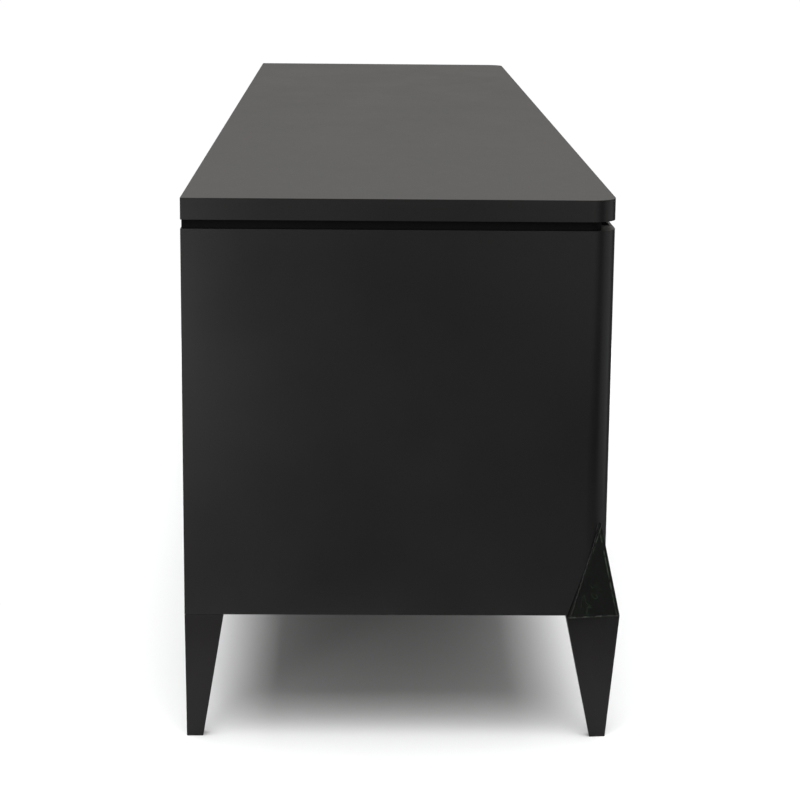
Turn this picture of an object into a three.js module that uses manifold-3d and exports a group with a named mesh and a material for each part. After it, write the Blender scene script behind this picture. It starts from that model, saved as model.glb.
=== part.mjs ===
// Long low chest of drawers in satin black lacquer.
// Six handleless drawers in three bays, a rounded floating top, tapered legs and, at each front
// corner, a faceted crystal that laps over the foot of the rounded corner.
//
// Millimetres. +X runs along the length, -Y is the front, +Z is up. The origin is on the floor at
// the middle of the overall outline.

import * as THREE from 'three';
import { ConvexGeometry } from 'three/addons/geometries/ConvexGeometry.js';
import { mergeVertices } from 'three/addons/utils/BufferGeometryUtils.js';
import Module from 'manifold-3d';

const wasm = await Module();
wasm.setup();

// ---------------------------------------------------------------- driving dimensions

const LENGTH = 2240;
const DEPTH = 500;
const LEG_HEIGHT = 152;
const BODY_HEIGHT = 459.5;
const TOP_GAP = 10.5;
const TOP_THICKNESS = 25;

const CORNER_RADIUS = 29;
const CORNER_SEGMENTS = 16;
const JOINT_GAP = 0.3;
const MERGE_TOLERANCE = 1e-4;
const CUT_OVERSHOOT = 1;

const END_THICKNESS = 50;
const BOARD_THICKNESS = 25;
const SUB_TOP_THICKNESS = 18;
const BACK_THICKNESS = 10;

const SPACER_FRONT_INSET = 17;
const SPACER_SIDE_INSET = 3;
const SPACER_BACK_INSET = 1.2;
const SPACER_RADIUS = 14;

const BAY_COUNT = 3;
const FRONT_THICKNESS = 22;
const FRONT_CLEARANCE = 1;
const FRONT_GAP = 3;
const FRONT_BOTTOM_GAP = 1.5;
const ROW_GAP = 10.5;
const LIP_THICKNESS = 4;
const FINGER_REACH = 40;

const MID_RAIL_DEPTH = 40;
const MID_RAIL_THICKNESS = 18;

const BOX_HEIGHT = 160;
const BOX_DEPTH = 440;
const BOX_WALL = 15;
const BOX_RAISE = 30;
const BOX_BOTTOM_THICKNESS = 8;
const BOX_BOTTOM_RAISE = 12;
const GROOVE_DEPTH = 6;

const RUNNER_SPACE = 13;
const RUNNER_LENGTH = 400;
const RUNNER_HEIGHT = 45;
const RUNNER_WALL = 1.6;
const RUNNER_PLAY = 1;
const RUNNER_FIXED_FLANGE = 9.2;
const RUNNER_MOVING_FLANGE = 8.6;
const RUNNER_FRONT_INSET = 48;
const RUNNER_RAISE = 70;

// The front legs and crystals are drawn from the outer front corner of the body: the first number
// runs inboard from the end face and the second runs back from the front face.
const LEG_REACH = 17;
const CRYSTAL_APEX = [2, 9.3, 267.3];
const CRYSTAL_BASE = LEG_HEIGHT - 2.2;
const CRYSTAL_OUTER = [-4.5, 43.2, CRYSTAL_BASE];
const CRYSTAL_NOSE = [7, -LEG_REACH, CRYSTAL_BASE];
const CRYSTAL_INNER = [50, -LEG_REACH, CRYSTAL_BASE];
const CRYSTAL_BEVEL_RUN = 14;
const CRYSTAL_TIP_SLOPE = 0.25;
const CRYSTAL_BURY = 30;
const FRONT_LEG_OUTER = [0, 47.7];
const FRONT_LEG_BACK = [44, 47.5];
const FRONT_FOOT_SCALE = 0.29;
const FRONT_FOOT_OUTER = [0, 16.2];

const REAR_LEG_TOP = { inboard: 28, front: 454, back: 500 };
const REAR_LEG_FOOT = { inboard: 18, front: 479.3, back: 498.7 };

// ---------------------------------------------------------------- levels and lines

const FRONT_Y = (LEG_REACH - DEPTH) / 2;
const BACK_Y = FRONT_Y + DEPTH;
const BODY_TOP_Z = LEG_HEIGHT + BODY_HEIGHT;
const SLAB_BOTTOM_Z = BODY_TOP_Z + TOP_GAP;

const INNER_HALF = LENGTH / 2 - END_THICKNESS;
const FRONT_WIDTH = (2 * INNER_HALF - (BAY_COUNT + 1) * FRONT_GAP) / BAY_COUNT;
const FRONT_PITCH = FRONT_WIDTH + FRONT_GAP;
const FRONT_HEIGHT = (BODY_HEIGHT - FRONT_BOTTOM_GAP - ROW_GAP) / 2;

const CARCASS_FRONT_Y = FRONT_Y + FRONT_THICKNESS + FRONT_CLEARANCE;
const CARCASS_BACK_Y = BACK_Y - BACK_THICKNESS - JOINT_GAP;
const ROWS = [
  { name: 'lower', z: LEG_HEIGHT + FRONT_BOTTOM_GAP },
  { name: 'upper', z: BODY_TOP_Z - FRONT_HEIGHT },
];
const MID_RAIL_Z = ROWS[0].z + FRONT_HEIGHT + (ROW_GAP - MID_RAIL_THICKNESS) / 2;

// ---------------------------------------------------------------- materials

const finish = (color, roughness, metalness = 0) => () =>
  new THREE.MeshStandardMaterial({ color, roughness, metalness });

const blackLacquer = finish(0x262525, 0.38);
const blackCarcass = finish(0x1d1c1c, 0.6);
const darkCrystal = finish(0x101711, 0.06);
const paleWood = finish(0xb79a72, 0.55);
const zincSteel = finish(0xa9acae, 0.35, 0.9);

// ---------------------------------------------------------------- shape helpers

const X_AXIS = new THREE.Vector3(1, 0, 0);
const Y_AXIS = new THREE.Vector3(0, 1, 0);
const Z_AXIS = new THREE.Vector3(0, 0, 1);

function meshOf(name, geometry, material) {
  const mesh = new THREE.Mesh(geometry, material());
  mesh.name = name;
  return mesh;
}

// The geometry of a rectangular block between two opposite corners.
function block(low, high) {
  const size = high.map((value, axis) => value - low[axis]);
  const centre = low.map((value, axis) => value + size[axis] / 2);
  return new THREE.BoxGeometry(...size).translate(...centre);
}

function board(name, material, low, high) {
  return meshOf(name, block(low, high), material);
}

function boxSolid(low, high) {
  return solidOf(block(low, high));
}


// A plan outline with its front corners rounded, on the left, on the right or on both.
function roundedPlan({ left, right, front, back, radius, roundLeft = true, roundRight = true }) {
  const plan = new THREE.Shape();
  plan.moveTo(left, back);
  if (roundLeft) {
    plan.lineTo(left, front + radius);
    plan.absarc(left + radius, front + radius, radius, Math.PI, 1.5 * Math.PI, false);
  } else {
    plan.lineTo(left, front);
  }
  if (roundRight) {
    plan.lineTo(right - radius, front);
    plan.absarc(right - radius, front + radius, radius, 1.5 * Math.PI, 2 * Math.PI, false);
  } else {
    plan.lineTo(right, front);
  }
  plan.lineTo(right, back);
  plan.closePath();
  return plan;
}

function extrude(shape, depth) {
  const settings = { depth, bevelEnabled: false, curveSegments: CORNER_SEGMENTS };
  return new THREE.ExtrudeGeometry(shape, settings);
}

// The outline's first axis becomes +Y and its second +Z; the length runs along +X.
function extrudeAlongX(shape, length) {
  const turn = new THREE.Matrix4().makeBasis(Y_AXIS, Z_AXIS, X_AXIS);
  return extrude(shape, length).applyMatrix4(turn);
}

// The outline's first axis stays +X and its second becomes +Z; the length runs along -Y.
function extrudeTowardsFront(shape, length) {
  const towardsFront = Y_AXIS.clone().negate();
  const turn = new THREE.Matrix4().makeBasis(X_AXIS, Z_AXIS, towardsFront);
  return extrude(shape, length).applyMatrix4(turn);
}

function polygon(points) {
  return new THREE.Shape(points.map(([x, y]) => new THREE.Vector2(x, y)));
}

function solidOf(geometry) {
  const bare = geometry.clone();
  bare.deleteAttribute('normal');
  bare.deleteAttribute('uv');
  const merged = mergeVertices(bare, MERGE_TOLERANCE);
  return new wasm.Manifold(
    new wasm.Mesh({
      numProp: 3,
      vertProperties: new Float32Array(merged.attributes.position.array),
      triVerts: new Uint32Array(merged.index.array),
    }),
  );
}

function geometryOf(solid) {
  const { vertProperties, triVerts } = solid.getMesh();
  const geometry = new THREE.BufferGeometry();
  geometry.setAttribute('position', new THREE.BufferAttribute(vertProperties, 3));
  geometry.setIndex(new THREE.BufferAttribute(triVerts, 1));
  geometry.computeVertexNormals();
  return geometry;
}

function hull(points) {
  return new ConvexGeometry(points.map((point) => new THREE.Vector3(...point)));
}

// Builds the same piece at both ends; the sign is -1 on the left and 1 on the right.
function onBothSides(build) {
  return [build('left', -1), build('right', 1)].flat();
}

// ---------------------------------------------------------------- top and carcass

function topPanel() {
  const plan = roundedPlan({
    left: -LENGTH / 2,
    right: LENGTH / 2,
    front: FRONT_Y,
    back: BACK_Y,
    radius: CORNER_RADIUS,
  });
  const mesh = meshOf('top_panel', extrude(plan, TOP_THICKNESS), blackLacquer);
  mesh.position.z = SLAB_BOTTOM_Z;
  return mesh;
}

// The recessed board that makes the shadow gap under the top.
function spacerPanel() {
  const plan = roundedPlan({
    left: -LENGTH / 2 + SPACER_SIDE_INSET,
    right: LENGTH / 2 - SPACER_SIDE_INSET,
    front: FRONT_Y + SPACER_FRONT_INSET,
    back: BACK_Y - SPACER_BACK_INSET,
    radius: SPACER_RADIUS,
  });
  const mesh = meshOf('spacer_panel', extrude(plan, TOP_GAP - 2 * JOINT_GAP), blackCarcass);
  mesh.position.z = BODY_TOP_Z + JOINT_GAP;
  return mesh;
}

function endPanels() {
  return onBothSides((side, sign) => {
    const outer = (sign * LENGTH) / 2;
    const inner = sign * INNER_HALF;
    const plan = roundedPlan({
      left: Math.min(outer, inner),
      right: Math.max(outer, inner),
      front: FRONT_Y,
      back: BACK_Y,
      radius: CORNER_RADIUS,
      roundLeft: sign < 0,
      roundRight: sign > 0,
    });
    const mesh = meshOf(`end_panel_${side}`, extrude(plan, BODY_HEIGHT), blackLacquer);
    mesh.position.z = LEG_HEIGHT;
    return mesh;
  });
}

// Each divider is notched at its front edge, where the middle rail passes through it.
function dividers() {
  return onBothSides((side, sign) => {
    const centre = (sign * FRONT_PITCH) / 2;
    const low = [
      centre - BOARD_THICKNESS / 2,
      CARCASS_FRONT_Y,
      LEG_HEIGHT + BOARD_THICKNESS + JOINT_GAP,
    ];
    const high = [
      centre + BOARD_THICKNESS / 2,
      CARCASS_BACK_Y,
      BODY_TOP_Z - SUB_TOP_THICKNESS - 2 * JOINT_GAP,
    ];
    const notch = boxSolid(
      [low[0] - BOARD_THICKNESS, low[1] - BOARD_THICKNESS, MID_RAIL_Z - JOINT_GAP],
      [
        high[0] + BOARD_THICKNESS,
        FRONT_Y + FINGER_REACH + MID_RAIL_DEPTH + JOINT_GAP,
        MID_RAIL_Z + MID_RAIL_THICKNESS + JOINT_GAP,
      ],
    );
    return meshOf(`divider_${side}`, geometryOf(boxSolid(low, high).subtract(notch)), blackCarcass);
  });
}

function carcassBoards() {
  const half = INNER_HALF - JOINT_GAP;
  const subTopTop = BODY_TOP_Z - JOINT_GAP;
  return [
    board(
      'bottom_panel',
      blackLacquer,
      [-half, CARCASS_FRONT_Y, LEG_HEIGHT],
      [half, CARCASS_BACK_Y, LEG_HEIGHT + BOARD_THICKNESS],
    ),
    board(
      'sub_top_panel',
      blackCarcass,
      [-half, FRONT_Y + FINGER_REACH, subTopTop - SUB_TOP_THICKNESS],
      [half, CARCASS_BACK_Y, subTopTop],
    ),
    board(
      'mid_rail',
      blackCarcass,
      [-half, FRONT_Y + FINGER_REACH, MID_RAIL_Z],
      [half, FRONT_Y + FINGER_REACH + MID_RAIL_DEPTH, MID_RAIL_Z + MID_RAIL_THICKNESS],
    ),
    board(
      'back_panel',
      blackLacquer,
      [-half, BACK_Y - BACK_THICKNESS, LEG_HEIGHT],
      [half, BACK_Y, BODY_TOP_Z],
    ),
  ];
}

// ---------------------------------------------------------------- legs and crystals

// Turns a point measured from the outer front corner into the part's own frame.
function fromCorner(sign, [inboard, back], z) {
  return [sign * (LENGTH / 2 - inboard), FRONT_Y + back, z];
}

// A four-sided spike whose foot is a scaled copy of its top, so that all its faces are flat.
function frontLeg(side, sign) {
  const top = [FRONT_LEG_OUTER, CRYSTAL_NOSE, CRYSTAL_INNER, FRONT_LEG_BACK];
  const foot = top.map((point) =>
    FRONT_FOOT_OUTER.map((start, axis) => start + FRONT_FOOT_SCALE * (point[axis] - FRONT_LEG_OUTER[axis])),
  );
  const points = [
    ...top.map((point) => fromCorner(sign, point, LEG_HEIGHT - JOINT_GAP)),
    ...foot.map((point) => fromCorner(sign, point, 0)),
  ];
  const solid = solidOf(hull(points)).subtract(crystalSeat(sign));
  return meshOf(`leg_front_${side}`, geometryOf(solid), blackLacquer);
}

function rearLeg(side, sign) {
  const ring = (section, z) => [
    fromCorner(sign, [0, section.front], z),
    fromCorner(sign, [0, section.back], z),
    fromCorner(sign, [section.inboard, section.back], z),
    fromCorner(sign, [section.inboard, section.front], z),
  ];
  const points = [...ring(REAR_LEG_TOP, LEG_HEIGHT - JOINT_GAP), ...ring(REAR_LEG_FOOT, 0)];
  return meshOf(`leg_rear_${side}`, hull(points), blackLacquer);
}

// The body's rounded corner, grown on every side, as the crystal and the leg under it see it.
function cornerBlock(sign, growth) {
  const reach = CRYSTAL_BURY + DEPTH / 2;
  const outer = sign * (LENGTH / 2 + growth);
  const inner = sign * (LENGTH / 2 - reach);
  const plan = roundedPlan({
    left: Math.min(outer, inner),
    right: Math.max(outer, inner),
    front: FRONT_Y - growth,
    back: FRONT_Y + reach,
    radius: CORNER_RADIUS + growth,
    roundLeft: sign < 0,
    roundRight: sign > 0,
  });
  return solidOf(extrude(plan, BODY_HEIGHT + LEG_HEIGHT));
}

// The room that the crystal's base takes up round the body's corner, on top of the front leg.
function crystalSeat(sign) {
  const corner = fromCorner(sign, CRYSTAL_NOSE, CRYSTAL_BASE - JOINT_GAP);
  const reach = DEPTH / 2;
  const low = [corner[0] - reach, corner[1] - reach, corner[2]];
  const high = [corner[0] + reach, corner[1] + reach, LEG_HEIGHT];
  return solidOf(block(low, high)).subtract(cornerBlock(sign, 0));
}

// A pyramid point cut away to fit over the rounded corner. It has one facet on the end and one on
// the front, a bevel along its rear edge that dies out at the tip, and a square inner edge.
function crystal(side, sign) {
  const sunk = CRYSTAL_APEX.map((value, axis) => value + CRYSTAL_TIP_SLOPE * (CRYSTAL_OUTER[axis] - value));
  const buried = ([inboard, back, z]) => [inboard + CRYSTAL_BEVEL_RUN, back + CRYSTAL_BEVEL_RUN, z];
  const points = [
    CRYSTAL_APEX,
    buried(sunk),
    CRYSTAL_OUTER,
    buried(CRYSTAL_OUTER),
    CRYSTAL_NOSE,
    CRYSTAL_INNER,
    [CRYSTAL_INNER[0], CRYSTAL_BURY, CRYSTAL_BASE],
  ];
  const outline = hull(points.map((point) => fromCorner(sign, point, point[2])));
  const solid = solidOf(outline).subtract(cornerBlock(sign, JOINT_GAP));
  return meshOf(`leg_crystal_${side}`, geometryOf(solid), darkCrystal);
}

// ---------------------------------------------------------------- drawers

// The front's back edge is cut away at the top, which leaves a lip to hook the fingers over.
function drawerFront(name) {
  const lipDrop = FRONT_THICKNESS - LIP_THICKNESS;
  const outline = polygon([
    [0, 0],
    [FRONT_THICKNESS, 0],
    [FRONT_THICKNESS, FRONT_HEIGHT - lipDrop],
    [LIP_THICKNESS, FRONT_HEIGHT],
    [0, FRONT_HEIGHT],
  ]);
  const mesh = meshOf(`drawer_front_${name}`, extrudeAlongX(outline, FRONT_WIDTH), blackLacquer);
  mesh.position.x = -FRONT_WIDTH / 2;
  return mesh;
}

function drawerBox(name, width) {
  const half = width / 2;
  const start = FRONT_THICKNESS + JOINT_GAP;
  const end = start + BOX_DEPTH;
  const grooveLow = BOX_BOTTOM_RAISE - JOINT_GAP;
  const grooveHigh = BOX_BOTTOM_RAISE + BOX_BOTTOM_THICKNESS + JOINT_GAP;
  const inset = BOX_WALL - GROOVE_DEPTH;
  const shell = boxSolid([-half, start, 0], [half, end, BOX_HEIGHT]);
  const inside = boxSolid(
    [BOX_WALL - half, start + BOX_WALL, -CUT_OVERSHOOT],
    [half - BOX_WALL, end - BOX_WALL, BOX_HEIGHT + CUT_OVERSHOOT],
  );
  const groove = boxSolid(
    [inset - half, start + inset, grooveLow],
    [half - inset, end - inset, grooveHigh],
  );
  const ring = shell.subtract(inside).subtract(groove);
  const box = meshOf(`drawer_box_${name}`, geometryOf(ring), paleWood);
  const slack = inset + JOINT_GAP;
  const bottom = board(
    `drawer_bottom_${name}`,
    paleWood,
    [slack - half, start + slack, BOX_BOTTOM_RAISE],
    [half - slack, end - slack, BOX_BOTTOM_RAISE + BOX_BOTTOM_THICKNESS],
  );
  return [box, bottom];
}

// A channel section open to one side: the web stands at x = 0 and the flanges run to +x.
function channel(height, flange) {
  return polygon([
    [0, 0],
    [flange, 0],
    [flange, RUNNER_WALL],
    [RUNNER_WALL, RUNNER_WALL],
    [RUNNER_WALL, height - RUNNER_WALL],
    [flange, height - RUNNER_WALL],
    [flange, height],
    [0, height],
  ]);
}

// The fixed member is screwed to the bay wall and the moving one, nested in it, to the drawer.
function runnerPair(name, side, sign, bayWall) {
  const movingHeight = RUNNER_HEIGHT - 2 * (RUNNER_WALL + RUNNER_PLAY);
  const fixed = extrudeTowardsFront(channel(RUNNER_HEIGHT, RUNNER_FIXED_FLANGE), RUNNER_LENGTH);
  const moving = extrudeTowardsFront(channel(movingHeight, RUNNER_MOVING_FLANGE), RUNNER_LENGTH);
  const rear = RUNNER_FRONT_INSET + RUNNER_LENGTH;
  const turn = sign < 0 ? 0 : Math.PI;

  const fixedMesh = meshOf(`runner_fixed_${name}_${side}`, fixed, zincSteel);
  fixedMesh.rotation.y = turn;
  fixedMesh.position.set(
    bayWall - sign * JOINT_GAP,
    rear,
    RUNNER_RAISE + (sign < 0 ? 0 : RUNNER_HEIGHT),
  );

  const movingMesh = meshOf(`runner_moving_${name}_${side}`, moving, zincSteel);
  movingMesh.rotation.y = Math.PI - turn;
  movingMesh.position.set(
    bayWall - sign * (RUNNER_SPACE - JOINT_GAP),
    rear,
    RUNNER_RAISE + RUNNER_WALL + RUNNER_PLAY + (sign < 0 ? movingHeight : 0),
  );
  return [fixedMesh, movingMesh];
}

// A drawer and its runners, drawn about the middle of its front at the front's lower edge.
function drawer(row, column) {
  const name = `${row.name}_${column.name}`;
  const unit = new THREE.Group();
  unit.position.set(column.x, FRONT_Y, row.z);
  unit.add(drawerFront(name));

  const { wallLeft, wallRight } = column;
  const inside = new THREE.Group();
  inside.position.z = BOX_RAISE;
  const box = new THREE.Group();
  box.position.x = (wallLeft + wallRight) / 2;
  box.add(...drawerBox(name, wallRight - wallLeft - 2 * RUNNER_SPACE));
  inside.add(box);
  inside.add(...runnerPair(name, 'left', -1, wallLeft));
  inside.add(...runnerPair(name, 'right', 1, wallRight));
  unit.add(inside);
  return unit;
}

// Bay walls are measured from the middle of the drawer front that covers the bay.
function columns() {
  const toDivider = FRONT_PITCH / 2 - BOARD_THICKNESS / 2;
  const toEnd = INNER_HALF - FRONT_PITCH;
  return [
    { name: 'left', x: -FRONT_PITCH, wallLeft: -toEnd, wallRight: toDivider },
    { name: 'centre', x: 0, wallLeft: -toDivider, wallRight: toDivider },
    { name: 'right', x: FRONT_PITCH, wallLeft: -toDivider, wallRight: toEnd },
  ];
}

// ---------------------------------------------------------------- assembly

const dresser = new THREE.Group();
dresser.add(topPanel(), spacerPanel(), ...endPanels(), ...dividers(), ...carcassBoards());
dresser.add(...onBothSides(frontLeg), ...onBothSides(rearLeg), ...onBothSides(crystal));
for (const row of ROWS) {
  for (const column of columns()) {
    dresser.add(drawer(row, column));
  }
}

export default dresser;
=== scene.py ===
"""Looks for the long black chest of drawers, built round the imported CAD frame."""
import math

import bpy
from mathutils import Matrix, Vector


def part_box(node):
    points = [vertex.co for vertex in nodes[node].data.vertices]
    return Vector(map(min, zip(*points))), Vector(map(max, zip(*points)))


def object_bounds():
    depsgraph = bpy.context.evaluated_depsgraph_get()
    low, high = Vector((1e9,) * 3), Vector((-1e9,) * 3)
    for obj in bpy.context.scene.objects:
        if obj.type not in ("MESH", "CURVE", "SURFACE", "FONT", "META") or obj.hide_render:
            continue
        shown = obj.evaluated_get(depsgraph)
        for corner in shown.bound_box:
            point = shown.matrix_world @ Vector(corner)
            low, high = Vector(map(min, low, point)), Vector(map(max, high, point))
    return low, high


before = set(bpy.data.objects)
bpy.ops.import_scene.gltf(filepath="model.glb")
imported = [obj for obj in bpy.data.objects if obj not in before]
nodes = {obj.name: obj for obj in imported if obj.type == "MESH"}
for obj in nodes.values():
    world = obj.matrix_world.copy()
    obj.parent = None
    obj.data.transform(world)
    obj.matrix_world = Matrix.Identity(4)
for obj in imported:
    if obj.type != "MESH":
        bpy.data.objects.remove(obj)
cad_low, cad_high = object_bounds()

# ---------------------------------------------------------------- places taken from the frame

end_low, end_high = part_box("end_panel_left")
end_face_x = end_low.x
mid_depth_y = (end_low.y + end_high.y) / 2
front_y = end_low.y
back_y = end_high.y

# Corners closer together than this, in metres, are taken as one.
WELD_DISTANCE = 2e-5


# ---------------------------------------------------------------- camera

CAMERA_AWAY = 2.5727
CAMERA_TOWARDS_BACK = 0.0449
CAMERA_HEIGHT = 0.9747
CAMERA_YAW = math.radians(1.06029)
CAMERA_PITCH = math.radians(12.31536)
CAMERA_ROLL = math.radians(0.53502)
CAMERA_LENS = 102.08
SENSOR_WIDTH = 36.0


def add_camera():
    """Looks along the length at the left end, from a little above."""
    ahead, right, up = Vector((1, 0, 0)), Vector((0, -1, 0)), Vector((0, 0, 1))
    level = math.cos(CAMERA_YAW) * ahead + math.sin(CAMERA_YAW) * right
    right = -math.sin(CAMERA_YAW) * ahead + math.cos(CAMERA_YAW) * right
    ahead = math.cos(CAMERA_PITCH) * level - math.sin(CAMERA_PITCH) * up
    up = math.sin(CAMERA_PITCH) * level + math.cos(CAMERA_PITCH) * up
    rolled_right = math.cos(CAMERA_ROLL) * right + math.sin(CAMERA_ROLL) * up
    rolled_up = -math.sin(CAMERA_ROLL) * right + math.cos(CAMERA_ROLL) * up

    data = bpy.data.cameras.new("camera")
    data.lens = CAMERA_LENS
    data.sensor_width = SENSOR_WIDTH
    camera = bpy.data.objects.new("camera", data)
    bpy.context.scene.collection.objects.link(camera)
    turn = Matrix((rolled_right, rolled_up, -ahead)).transposed()
    place = Vector((end_face_x - CAMERA_AWAY, mid_depth_y + CAMERA_TOWARDS_BACK, CAMERA_HEIGHT))
    camera.matrix_world = Matrix.Translation(place) @ turn.to_4x4()
    bpy.context.scene.camera = camera


# ---------------------------------------------------------------- stage and light

FLOOR_MARGIN = 0.3
FLOOR_COLOUR = (0.86, 0.86, 0.86, 1)
FLOOR_ROUGHNESS = 0.9
FLOOR_SPECULAR = 0.1
WHITE = (1, 1, 1, 1)
BACKDROP_STRENGTH = 1.02


def add_floor():
    """A plain pale slab a little larger than the object."""
    low, high = cad_low, cad_high
    data = bpy.data.meshes.new("floor")
    x0, x1 = low.x - FLOOR_MARGIN, high.x + FLOOR_MARGIN
    y0, y1 = low.y - FLOOR_MARGIN, high.y + FLOOR_MARGIN
    data.from_pydata([(x0, y0, 0), (x1, y0, 0), (x1, y1, 0), (x0, y1, 0)], [], [(0, 1, 2, 3)])
    floor = bpy.data.objects.new("floor", data)
    bpy.context.scene.collection.objects.link(floor)
    material = bpy.data.materials.new("floor_paint")
    material.use_nodes = True
    shader = material.node_tree.nodes["Principled BSDF"]
    shader.inputs["Base Color"].default_value = FLOOR_COLOUR
    shader.inputs["Roughness"].default_value = FLOOR_ROUGHNESS
    shader.inputs["Specular IOR Level"].default_value = FLOOR_SPECULAR
    data.materials.append(material)


# Studio brightness and tint by height of the direction, from straight down to straight up.
COOL, PLAIN, WARM, MAUVE = (0.97, 0.99, 1.0), (1, 1, 1), (1.0, 0.955, 0.89), (1.0, 0.96, 1.0)
HEIGHT_STOPS = (
    (0.0, 0.12, MAUVE),
    (0.46, 0.17, MAUVE),
    (0.53, 0.33, WARM),
    (0.60, 0.31, WARM),
    (0.80, 0.9, PLAIN),
    (1.0, 1.6, COOL),
)
# The same by how far the direction leans to the near end (0) or to the far end (1) of the length.
LENGTH_STOPS = (
    (0.0, 2.2, PLAIN),
    (0.03, 1.9, PLAIN),
    (0.08, 0.5, PLAIN),
    (0.25, 0.4, PLAIN),
    (0.38, 1.3, PLAIN),
    (0.60, 1.3, PLAIN),
    (0.90, 1.0, PLAIN),
)
# The same by how far it leans to the front (0) or to the back (1).
DEPTH_STOPS = (
    (0.0, 0.35, PLAIN),
    (0.30, 0.6, PLAIN),
    (0.42, 1.0, PLAIN),
    (0.62, 1.0, PLAIN),
    (0.80, 0.4, PLAIN),
    (1.0, 0.2, PLAIN),
)


def brightness_ramp(tree, value, stops):
    """Maps a direction's component, from -1 to 1, through a list of brightness stops."""
    span = tree.nodes.new("ShaderNodeMapRange")
    span.inputs["From Min"].default_value = -1
    ramp = tree.nodes.new("ShaderNodeValToRGB")
    brightest = max(level for _, level, _ in stops)
    while len(ramp.color_ramp.elements) < len(stops):
        ramp.color_ramp.elements.new(0.5)
    for element, (position, level, tint) in zip(ramp.color_ramp.elements, stops):
        element.position = position
        element.color = (*(level / brightest * part for part in tint), 1)
    tree.links.new(value, span.inputs["Value"])
    tree.links.new(span.outputs[0], ramp.inputs[0])
    return ramp.outputs[0], brightest


def add_world():
    """White behind the object; a soft studio, brighter overhead, for everything else."""
    world = bpy.data.worlds.new("studio")
    bpy.context.scene.world = world
    world.use_nodes = True
    tree = world.node_tree
    tree.nodes.clear()
    place = tree.nodes.new("ShaderNodeTexCoord")
    split = tree.nodes.new("ShaderNodeSeparateXYZ")
    by_height, height_peak = brightness_ramp(tree, split.outputs["Z"], HEIGHT_STOPS)
    by_length, length_peak = brightness_ramp(tree, split.outputs["X"], LENGTH_STOPS)
    by_depth, depth_peak = brightness_ramp(tree, split.outputs["Y"], DEPTH_STOPS)
    pair = tree.nodes.new("ShaderNodeVectorMath")
    pair.operation = "MULTIPLY"
    all_three = tree.nodes.new("ShaderNodeVectorMath")
    all_three.operation = "MULTIPLY"
    studio = tree.nodes.new("ShaderNodeBackground")
    studio.inputs["Strength"].default_value = height_peak * length_peak * depth_peak
    white = tree.nodes.new("ShaderNodeBackground")
    white.inputs["Color"].default_value = WHITE
    white.inputs["Strength"].default_value = BACKDROP_STRENGTH
    path = tree.nodes.new("ShaderNodeLightPath")
    mix = tree.nodes.new("ShaderNodeMixShader")
    out = tree.nodes.new("ShaderNodeOutputWorld")
    link = tree.links.new
    link(place.outputs["Generated"], split.inputs[0])
    link(by_height, pair.inputs[0])
    link(by_length, pair.inputs[1])
    link(pair.outputs[0], all_three.inputs[0])
    link(by_depth, all_three.inputs[1])
    link(all_three.outputs[0], studio.inputs["Color"])
    link(path.outputs["Is Camera Ray"], mix.inputs[0])
    link(studio.outputs[0], mix.inputs[1])
    link(white.outputs[0], mix.inputs[2])
    link(mix.outputs[0], out.inputs[0])


OVERHEAD_X = -1.0
OVERHEAD_HEIGHT = 3.2
OVERHEAD_SIZE = (7.0, 4.6)
OVERHEAD_POWER = 224

# The weak lamps stand off the near end, by these distances in metres and powers in watts.
FILL_AWAY = 1.0
SIDE_FILL_BEHIND = 0.32
SIDE_FILL_HEIGHT = 0.32
SIDE_FILL_AIM_HEIGHT = 0.4
SIDE_FILL_SIZE = (0.3, 0.5)
SIDE_FILL_POWER = 3.4
CORNER_FILL_AHEAD = 0.34
CORNER_FILL_HEIGHT = 0.62
CORNER_FILL_AIM_HEIGHT = 0.6
CORNER_FILL_SIZE = (0.7, 0.7)
CORNER_FILL_POWER = 1.0
STRIP_INBOARD = 0.05
STRIP_AHEAD = 1.2
STRIP_HEIGHT = 0.36
STRIP_SIZE = (1.3, 0.9)
STRIP_POWER = 2.4


def add_softbox(name, place, aim, size, power):
    """A rectangular area light aimed at a point."""
    data = bpy.data.lights.new(name, "AREA")
    data.shape = "RECTANGLE"
    data.size, data.size_y = size
    data.energy = power
    lamp = bpy.data.objects.new(name, data)
    bpy.context.scene.collection.objects.link(lamp)
    lamp.visible_camera = False
    lamp.location = place
    lamp.rotation_mode = "QUATERNION"
    lamp.rotation_quaternion = (Vector(aim) - Vector(place)).to_track_quat("-Z", "Y")


def add_lights():
    """One large softbox overhead, and three weak ones for the near end, its corner and the front."""
    add_softbox(
        "overhead",
        (OVERHEAD_X, mid_depth_y, OVERHEAD_HEIGHT),
        (OVERHEAD_X, mid_depth_y, 0),
        OVERHEAD_SIZE,
        OVERHEAD_POWER,
    )
    add_softbox(
        "side_fill",
        (end_face_x - FILL_AWAY, back_y + SIDE_FILL_BEHIND, SIDE_FILL_HEIGHT),
        (end_face_x, back_y, SIDE_FILL_AIM_HEIGHT),
        SIDE_FILL_SIZE,
        SIDE_FILL_POWER,
    )
    add_softbox(
        "corner_fill",
        (end_face_x - FILL_AWAY, front_y - CORNER_FILL_AHEAD, CORNER_FILL_HEIGHT),
        (end_face_x, front_y, CORNER_FILL_AIM_HEIGHT),
        CORNER_FILL_SIZE,
        CORNER_FILL_POWER,
    )
    add_softbox(
        "front_strip",
        (end_face_x + STRIP_INBOARD, front_y - STRIP_AHEAD, STRIP_HEIGHT),
        (end_face_x, front_y, STRIP_HEIGHT),
        STRIP_SIZE,
        STRIP_POWER,
    )


# ---------------------------------------------------------------- node helpers


# The share of a band's half width that keeps its full value.
BAND_CORE = 0.35


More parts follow.
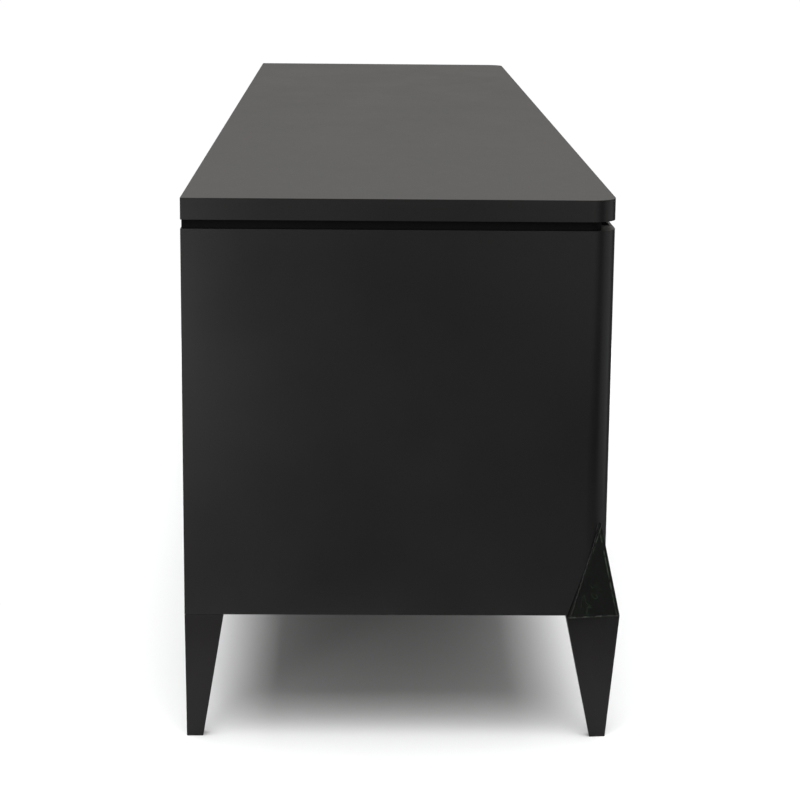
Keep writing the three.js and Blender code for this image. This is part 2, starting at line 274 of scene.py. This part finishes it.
class Tree:
    """A short way to write a material's nodes."""

    def __init__(self, name):
        self.material = bpy.data.materials.new(name)
        self.material.use_nodes = True
        self.tree = self.material.node_tree
        self.shader = self.tree.nodes["Principled BSDF"]
        self.place = self.tree.nodes.new("ShaderNodeTexCoord").outputs["Object"]

    def link(self, source, target):
        self.tree.links.new(source, target)

    def set(self, **values):
        """Sets plain values on the shader's own sockets."""
        for key, value in values.items():
            self.shader.inputs[key.replace("_", " ")].default_value = value

    def scaled(self, scale):
        """The object's own coordinates, stretched by a scale for each axis."""
        node = self.tree.nodes.new("ShaderNodeMapping")
        node.inputs["Scale"].default_value = scale
        self.link(self.place, node.inputs["Vector"])
        return node.outputs[0]

    def noise(self, scale, detail=3.0, roughness=0.5, stretch=None, distortion=0.0):
        node = self.tree.nodes.new("ShaderNodeTexNoise")
        node.inputs["Scale"].default_value = scale
        node.inputs["Detail"].default_value = detail
        node.inputs["Roughness"].default_value = roughness
        node.inputs["Distortion"].default_value = distortion
        self.link(self.scaled(stretch) if stretch else self.place, node.inputs["Vector"])
        return node.outputs["Fac"]

    def spread(self, value, low, high, start=0.0, stop=1.0):
        """Maps a value between two levels."""
        node = self.tree.nodes.new("ShaderNodeMapRange")
        node.inputs["From Min"].default_value = start
        node.inputs["From Max"].default_value = stop
        node.inputs["To Min"].default_value = low
        node.inputs["To Max"].default_value = high
        self.link(value, node.inputs["Value"])
        return node.outputs[0]

    def math(self, operation, a, b=None):
        node = self.tree.nodes.new("ShaderNodeMath")
        node.operation = operation
        for socket, value in zip(node.inputs, (a, b)):
            if value is None:
                continue
            if isinstance(value, (int, float)):
                socket.default_value = value
            else:
                self.link(value, socket)
        return node.outputs[0]

    def blend(self, factor, a, b):
        """Mixes two colours, each a tuple or a socket."""
        node = self.tree.nodes.new("ShaderNodeMix")
        node.data_type = "RGBA"
        colour_a, colour_b = [s for s in node.inputs if s.type == "RGBA"]
        self.link(factor, node.inputs["Factor"])
        for socket, value in ((colour_a, a), (colour_b, b)):
            if isinstance(value, tuple):
                socket.default_value = (*value, 1)
            else:
                self.link(value, socket)
        return [s for s in node.outputs if s.type == "RGBA"][0]

    def vector(self, operation, a, b):
        """Vector arithmetic on a socket and a plain vector."""
        node = self.tree.nodes.new("ShaderNodeVectorMath")
        node.operation = operation
        self.link(a, node.inputs[0])
        node.inputs[1].default_value = b
        return node.outputs["Vector"]

    def line_distance(self, place, start, stop):
        """How far a place is from the line through two points."""
        arm = self.vector("SUBTRACT", place, start)
        across = self.vector("CROSS_PRODUCT", arm, (stop - start).normalized())
        node = self.tree.nodes.new("ShaderNodeVectorMath")
        node.operation = "LENGTH"
        self.link(across, node.inputs[0])
        return node.outputs["Value"]

    def band(self, value, middle, half):
        """One at the middle of a band, falling to nothing at its edges."""
        away = self.math("ABSOLUTE", self.math("SUBTRACT", value, middle))
        return self.spread(away, 1, 0, half * BAND_CORE, half)

    def both_ends(self):
        """The object's coordinates with its two ends folded together, and the height."""
        split = self.tree.nodes.new("ShaderNodeSeparateXYZ")
        self.link(self.place, split.inputs[0])
        join = self.tree.nodes.new("ShaderNodeCombineXYZ")
        length = self.math("ABSOLUTE", split.outputs["X"])
        for source, name in ((length, "X"), (split.outputs["Y"], "Y"), (split.outputs["Z"], "Z")):
            self.link(source, join.inputs[name])
        return join.outputs[0], split.outputs["Z"]

    def bump(self, height, depth, strength=1.0):
        node = self.tree.nodes.new("ShaderNodeBump")
        node.inputs["Strength"].default_value = strength
        node.inputs["Distance"].default_value = depth
        self.link(height, node.inputs["Height"])
        self.link(node.outputs[0], self.shader.inputs["Normal"])


# ---------------------------------------------------------------- materials

# The thickness of a drawer box's boards.
BOX_WALL = 0.015

# How far the lacquer's roughness drifts each way, and how deep its orange peel is.
LACQUER_DRIFT = 0.04
LACQUER_PEEL = 0.00003

LEG_TONE = 0.011
LEG_TINT = (1.0, 0.92, 0.98)
LEG_IOR = 1.22

PAINT_DARK = (0.0012, 0.0012, 0.0012)
PAINT_LIGHT = (0.003, 0.003, 0.003)
PAINT_IOR = 1.18

CRYSTAL_DARK = (0.0052, 0.0058, 0.0052)
CRYSTAL_LIGHT = (0.0092, 0.0106, 0.0092)
# A green tone for thin loops painted in for light bent through the glass: painted refraction.
CRYSTAL_REFRACTION = (0.013, 0.021, 0.013)
# A pale colour for painted reflections just inside the arrises.
CRYSTAL_REFLECTION_LINE = (0.042, 0.050, 0.038)
# A pale colour for a painted highlight along the crystal's foot.
CRYSTAL_FOOT_HIGHLIGHT = (0.050, 0.056, 0.044)
# A bluish colour for a painted highlight at the crystal's tip.
CRYSTAL_TIP_HIGHLIGHT = (0.03, 0.045, 0.07)
# A near-black colour for painted shadow along the seam with the end panel.
CRYSTAL_SEAM_SHADE = (0.0006, 0.0006, 0.0006)
CRYSTAL_IOR = 1.5

WOOD_DARK = (0.34, 0.20, 0.10)
WOOD_LIGHT = (0.56, 0.39, 0.22)
WOOD_PORE = (0.24, 0.14, 0.07)
GRAIN_DRAW = 0.05

ZINC_DARK = (0.50, 0.52, 0.54)
ZINC_LIGHT = (0.66, 0.67, 0.68)


def satin_lacquer(name, tone=0.009, tint=(1.0, 1.0, 1.0), roughness=0.34, ior=1.30):
    """Black lacquer sprayed over board: faint orange peel, soft cloudy sheen, fine specks."""
    mat = Tree(name)
    cloud = mat.noise(3.0, detail=4, stretch=(1, 2.5, 2.5))
    dark = tuple(tone * 0.8 * part for part in tint)
    light = tuple(tone * 1.25 * part for part in tint)
    speck = mat.spread(mat.noise(2600, detail=1), 0, 1, 0.66, 0.74)
    base = mat.blend(cloud, dark, light)
    mat.link(mat.blend(speck, base, (tone * 3,) * 3), mat.shader.inputs["Base Color"])
    sheen = mat.spread(cloud, roughness - LACQUER_DRIFT, roughness + LACQUER_DRIFT, 0.3, 0.7)
    mat.link(sheen, mat.shader.inputs["Roughness"])
    mat.set(IOR=ior)
    peel = mat.noise(420, detail=2)
    mat.bump(peel, LACQUER_PEEL)
    return mat.material


def carcass_black(name):
    """Flat black paint on the hidden boards, with the fibre of the board just showing."""
    mat = Tree(name)
    fibre = mat.noise(900, detail=3, stretch=(0.25, 1, 1))
    mat.link(mat.blend(fibre, PAINT_DARK, PAINT_LIGHT), mat.shader.inputs["Base Color"])
    mat.link(mat.spread(fibre, 0.6, 0.75), mat.shader.inputs["Roughness"])
    mat.set(IOR=PAINT_IOR)
    mat.bump(fibre, 0.00008)
    return mat.material


def crystal_corners():
    """A crystal's tip, its lower outer corner, its nose and the foot of its bevel's seam."""
    points = [Vector((abs(v.co.x), v.co.y, v.co.z)) for v in nodes["leg_crystal_left"].data.vertices]
    base = min(point.z for point in points)
    lower = [point for point in points if point.z < base + WELD_DISTANCE]
    tip = max(points, key=lambda point: point.z)
    outer = max(lower, key=lambda point: point.x)
    front = min(point.y for point in lower)
    nose = max((p for p in lower if p.y < front + WELD_DISTANCE), key=lambda point: point.x)
    seam = max((p for p in lower if p.x > abs(end_face_x)), key=lambda point: point.y)
    return tip, outer, nose, seam


def green_crystal(name):
    """Polished green-black crystal, with painted light: thin green loops of painted refraction, pale
    painted reflections inside its arrises, painted highlights at its foot and tip, and painted
    shadow along its seam.
    """
    mat = Tree(name)
    place, height = mat.both_ends()
    tip, outer, nose, seam_foot = crystal_corners()

    cloud = mat.noise(60, detail=3)
    base = mat.blend(cloud, CRYSTAL_DARK, CRYSTAL_LIGHT)
    # Painted refraction: thin green loops, in patches, for light bent through the glass.
    refraction_noise = mat.noise(42, detail=2, roughness=0.4, distortion=1.2)
    thin = mat.band(refraction_noise, 0.5, 0.022)
    patches = mat.spread(mat.noise(38, detail=1), 0, 1, 0.46, 0.58)
    base = mat.blend(mat.math("MULTIPLY", thin, patches), base, CRYSTAL_REFRACTION)

    # Noise that breaks up the painted reflections and the painted foot highlight.
    highlight_breaks = mat.spread(mat.noise(130, detail=2), 0.15, 1, 0.42, 0.60)
    rise = tip.z - outer.z
    near_tip = mat.spread(height, 0, 1, outer.z + 0.4 * rise, outer.z + 0.75 * rise)
    rear_edge = mat.line_distance(place, tip, outer)
    nose_edge = mat.line_distance(place, tip, nose)
    # Painted reflections: pale bands just inside the rear and nose arrises. The rear band fades out
    # below the tip.
    rear_edge_reflection = mat.math("MULTIPLY", mat.band(rear_edge, 0.0021, 0.0010), near_tip)
    nose_edge_reflection = mat.band(nose_edge, 0.0036, 0.0011)
    painted_edge_reflections = mat.math("MULTIPLY", mat.math("MAXIMUM", rear_edge_reflection, nose_edge_reflection), highlight_breaks)
    base = mat.blend(painted_edge_reflections, base, CRYSTAL_REFLECTION_LINE)
    # Painted highlight: a pale band along the crystal's foot.
    foot = mat.math("MULTIPLY", mat.band(height, outer.z + 0.0008, 0.0012), highlight_breaks)
    base = mat.blend(foot, base, CRYSTAL_FOOT_HIGHLIGHT)
    # Painted highlight: a bluish glint just below the tip.
    tip_highlight = mat.spread(height, 0, 1, tip.z - 0.006, tip.z - 0.003)
    base = mat.blend(tip_highlight, base, CRYSTAL_TIP_HIGHLIGHT)
    # Painted shadow: a dark band along the seam where the crystal meets the end panel.
    seam = mat.spread(mat.line_distance(place, tip, seam_foot), 1, 0, 0.0016, 0.0022)
    base = mat.blend(seam, base, CRYSTAL_SEAM_SHADE)
    mat.link(base, mat.shader.inputs["Base Color"])
    mat.link(mat.spread(cloud, 0.05, 0.10), mat.shader.inputs["Roughness"])
    mat.set(IOR=CRYSTAL_IOR)
    mat.bump(mat.noise(45, detail=1), 0.00015)
    return mat.material


def grain(mat, along):
    """Annual rings and pores drawn out along one axis."""
    stretch = {"x": (GRAIN_DRAW, 1, 1), "y": (1, GRAIN_DRAW, 1)}[along]
    rings = mat.noise(26, detail=6, roughness=0.62, stretch=stretch, distortion=0.6)
    return rings, mat.noise(900, detail=2, stretch=stretch)


def wood_finish(mat, rings, pores):
    """The colours, sheen and open pores of a clear-finished pale hardwood."""
    base = mat.blend(mat.spread(rings, 0, 1, 0.32, 0.68), WOOD_DARK, WOOD_LIGHT)
    speckled = mat.blend(mat.spread(pores, 0, 0.6, 0.6, 0.75), base, WOOD_PORE)
    mat.link(speckled, mat.shader.inputs["Base Color"])
    mat.link(mat.spread(rings, 0.42, 0.6), mat.shader.inputs["Roughness"])
    mat.bump(pores, 0.00006)
    return mat.material


def bottom_wood(name):
    """A thin board with its grain from front to back."""
    mat = Tree(name)
    return wood_finish(mat, *grain(mat, "y"))


def box_wood(name):
    """Four boards: the grain follows the length of each one, so it turns at the corners."""
    mat = Tree(name)
    low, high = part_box("drawer_box_upper_left")
    wall = BOX_WALL / (high.x - low.x)
    across = mat.tree.nodes.new("ShaderNodeTexCoord").outputs["Generated"]
    split = mat.tree.nodes.new("ShaderNodeSeparateXYZ")
    mat.link(across, split.inputs[0])
    from_middle = mat.math("ABSOLUTE", mat.math("SUBTRACT", split.outputs["X"], 0.5))
    side_board = mat.math("GREATER_THAN", from_middle, 0.5 - wall)
    mixed = []
    for along_x, along_y in zip(grain(mat, "x"), grain(mat, "y")):
        node = mat.tree.nodes.new("ShaderNodeMix")
        mat.link(side_board, node.inputs["Factor"])
        mat.link(along_x, node.inputs["A"])
        mat.link(along_y, node.inputs["B"])
        mixed.append(node.outputs["Result"])
    return wood_finish(mat, *mixed)


def zinc_steel(name):
    """Bright zinc plate over rolled steel, drawn along the runner."""
    mat = Tree(name)
    drawn = mat.noise(1400, detail=2, stretch=(1, 0.02, 1))
    cloud = mat.noise(40, detail=3)
    mat.link(mat.blend(cloud, ZINC_DARK, ZINC_LIGHT), mat.shader.inputs["Base Color"])
    mat.link(mat.spread(drawn, 0.24, 0.42), mat.shader.inputs["Roughness"])
    mat.set(Metallic=1.0)
    mat.bump(drawn, 0.00002)
    return mat.material


# ---------------------------------------------------------------- edges of the CAD nodes

# Edges that turn by less than this are part of a curve and stay smooth.
CURVE_LIMIT = math.radians(30)

LEG_EASE = 0.0010
HIDDEN_BOARD_EASE = 0.0008
CRYSTAL_EASE = 0.0005
DRAWER_BOX_EASE = 0.0010
DRAWER_BOTTOM_EASE = 0.0004
RUNNER_EASE = 0.0003
RUNNER_EASE_SEGMENTS = 2


def smooth_group():
    """Welds a node's corners and shades it smooth, except across its sharp edges."""
    group = bpy.data.node_groups.new("weld_and_shade", "GeometryNodeTree")
    group.interface.new_socket("Geometry", in_out="INPUT", socket_type="NodeSocketGeometry")
    group.interface.new_socket("Geometry", in_out="OUTPUT", socket_type="NodeSocketGeometry")
    start = group.nodes.new("NodeGroupInput")
    stop = group.nodes.new("NodeGroupOutput")
    bare = group.nodes.new("GeometryNodeRemoveAttribute")
    bare.inputs["Name"].default_value = "custom_normal"
    weld = group.nodes.new("GeometryNodeMergeByDistance")
    weld.inputs["Distance"].default_value = WELD_DISTANCE
    faces = group.nodes.new("GeometryNodeSetShadeSmooth")
    faces.domain = "FACE"
    faces.inputs["Shade Smooth"].default_value = True
    edges = group.nodes.new("GeometryNodeSetShadeSmooth")
    edges.domain = "EDGE"
    edges.inputs["Shade Smooth"].default_value = False
    angle = group.nodes.new("GeometryNodeInputMeshEdgeAngle")
    sharp = group.nodes.new("FunctionNodeCompare")
    sharp.operation = "GREATER_THAN"
    sharp.inputs[1].default_value = CURVE_LIMIT
    link = group.links.new
    link(start.outputs[0], bare.inputs["Geometry"])
    link(bare.outputs[0], weld.inputs["Geometry"])
    link(weld.outputs[0], faces.inputs["Geometry"])
    link(faces.outputs[0], edges.inputs["Geometry"])
    link(angle.outputs["Unsigned Angle"], sharp.inputs[0])
    link(sharp.outputs[0], edges.inputs["Selection"])
    link(edges.outputs[0], stop.inputs[0])
    return group


def ease_edges(node, group, width, segments=3):
    """Rounds over the arrises of one CAD node."""
    weld = node.modifiers.new("weld", "NODES")
    weld.node_group = group
    bevel = node.modifiers.new("ease", "BEVEL")
    bevel.width = width
    bevel.segments = segments
    bevel.limit_method = "ANGLE"
    bevel.angle_limit = CURVE_LIMIT
    bevel.harden_normals = True
    bevel.miter_outer = "MITER_ARC"


def dress(prefix, material, group, width, segments=3):
    """Gives every CAD node whose name starts with a prefix its material and eased edges."""
    for name, node in nodes.items():
        if name.startswith(prefix):
            node.data.materials.clear()
            node.data.materials.append(material)
            ease_edges(node, group, width, segments)


def dress_all():
    """Gives every CAD node its material and the width of its rounded arrises, in metres."""
    group = smooth_group()
    lacquer = satin_lacquer("satin_lacquer")
    for prefix, width in (
        ("top_panel", 0.0016),
        ("end_panel", 0.0011),
        ("drawer_front", 0.0010),
        ("bottom_panel", 0.0008),
        ("back_panel", 0.0008),
    ):
        dress(prefix, lacquer, group, width)
    leg_lacquer = satin_lacquer("leg_lacquer", LEG_TONE, LEG_TINT, ior=LEG_IOR)
    for prefix in ("leg_front", "leg_rear"):
        dress(prefix, leg_lacquer, group, LEG_EASE)
    black = carcass_black("carcass_black")
    for prefix in ("spacer_panel", "sub_top_panel", "divider", "mid_rail"):
        dress(prefix, black, group, HIDDEN_BOARD_EASE)
    dress("leg_crystal", green_crystal("green_crystal"), group, CRYSTAL_EASE)
    dress("drawer_box", box_wood("box_wood"), group, DRAWER_BOX_EASE)
    dress("drawer_bottom", bottom_wood("bottom_wood"), group, DRAWER_BOTTOM_EASE)
    dress("runner", zinc_steel("zinc_steel"), group, RUNNER_EASE, RUNNER_EASE_SEGMENTS)


add_camera()
add_floor()
add_world()
add_lights()
dress_all()

bpy.context.scene.view_settings.view_transform = "Standard"
